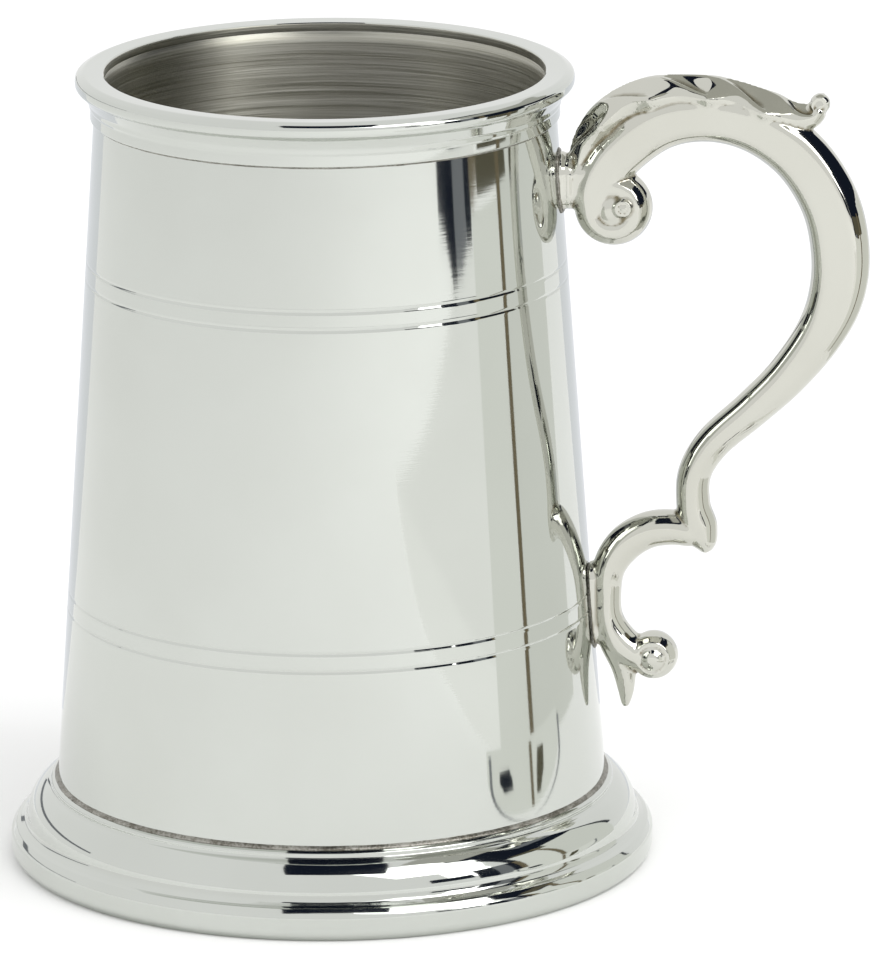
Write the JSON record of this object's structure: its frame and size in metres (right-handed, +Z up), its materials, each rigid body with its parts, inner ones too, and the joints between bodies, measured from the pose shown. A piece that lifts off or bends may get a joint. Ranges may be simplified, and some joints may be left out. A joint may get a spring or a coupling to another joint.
{
  "type": "tankard",
  "caption": "Lidless one-pint drinking tankard with a tapered barrel, moulded lip and foot, and a cast S-scroll handle with a leafed thumbpiece.",
  "frame": {"origin": "centre of the foot's resting ring, on the barrel's axis", "axes": "+Z up the barrel's axis, +X towards the handle, +Y across the handle"},
  "size_m": [0.1359, 0.1018, 0.1267],
  "materials": {
    "polished_pewter": "mirror-polished pewter, faint turning lines",
    "satin_pewter": "brushed satin pewter",
    "soft_solder": "dull soft solder"
  },
  "bodies": {
    "root": {"barrel": "polished_pewter", "mouth_band": "polished_pewter", "floor": "satin_pewter", "foot_ring": "polished_pewter", "handle": "polished_pewter", "foot_solder": "soft_solder", "band_solder": "soft_solder", "floor_solder": "soft_solder", "upper_lug_solder": "soft_solder", "lower_lug_solder": "soft_solder"}
  },
  "joints": []
}
